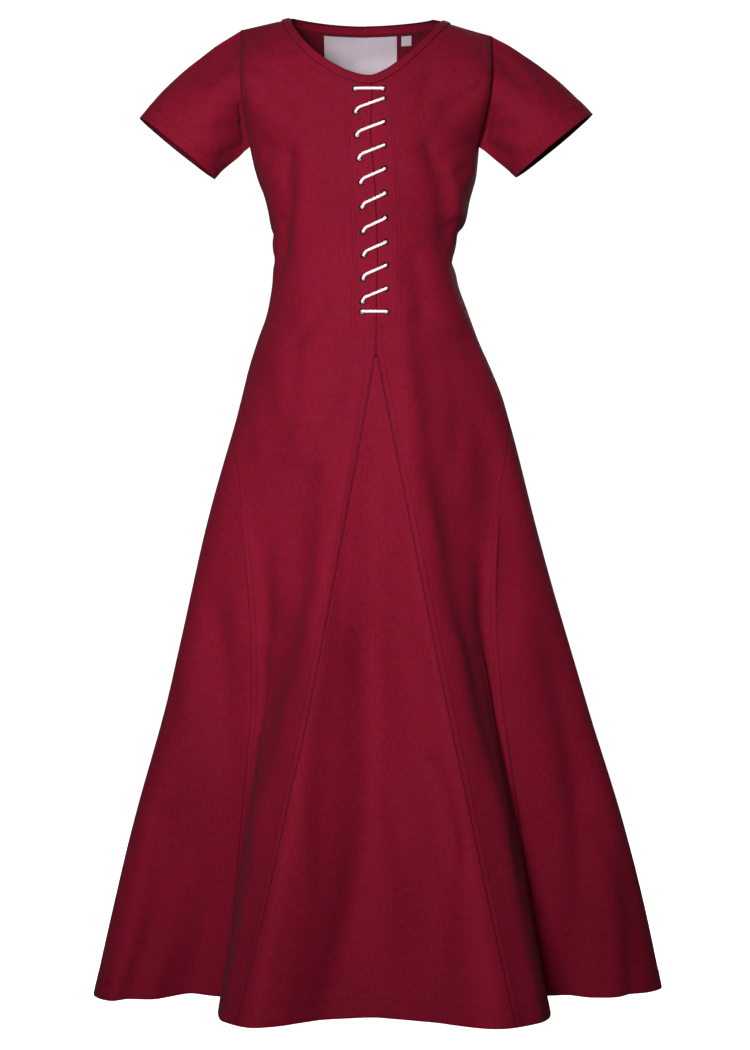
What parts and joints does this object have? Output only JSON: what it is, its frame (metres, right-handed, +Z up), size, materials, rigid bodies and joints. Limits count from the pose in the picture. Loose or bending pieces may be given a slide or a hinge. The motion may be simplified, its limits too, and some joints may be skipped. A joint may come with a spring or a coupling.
{
  "type": "cotehardie",
  "caption": "Floor-length historic dress with short set-in sleeves, a shallow V neck, a front slit laced with white cord, and a skirt flared by triangular gores at the front and sides",
  "frame": {"origin": "midway between the neck ends of the two shoulder seams, where the wearer's shoulders hold the dress up", "axes": "+Z up, the front faces -Y, +X is the dress's left arm side, which is the picture's right"},
  "size_m": [0.8505, 0.5499, 1.4487],
  "materials": {
    "cloth": "matte",
    "label": "satin",
    "lace": "matte"
  },
  "bodies": {
    "root": {"front_left": "cloth", "front_right": "cloth", "front_gore": "cloth", "side_gore_left": "cloth", "side_gore_right": "cloth", "back": "cloth", "sleeve_left": "cloth", "sleeve_right": "cloth", "neck_band": "cloth", "label": "label", "size_tab": "label", "lacing": "lace"}
  },
  "joints": []
}
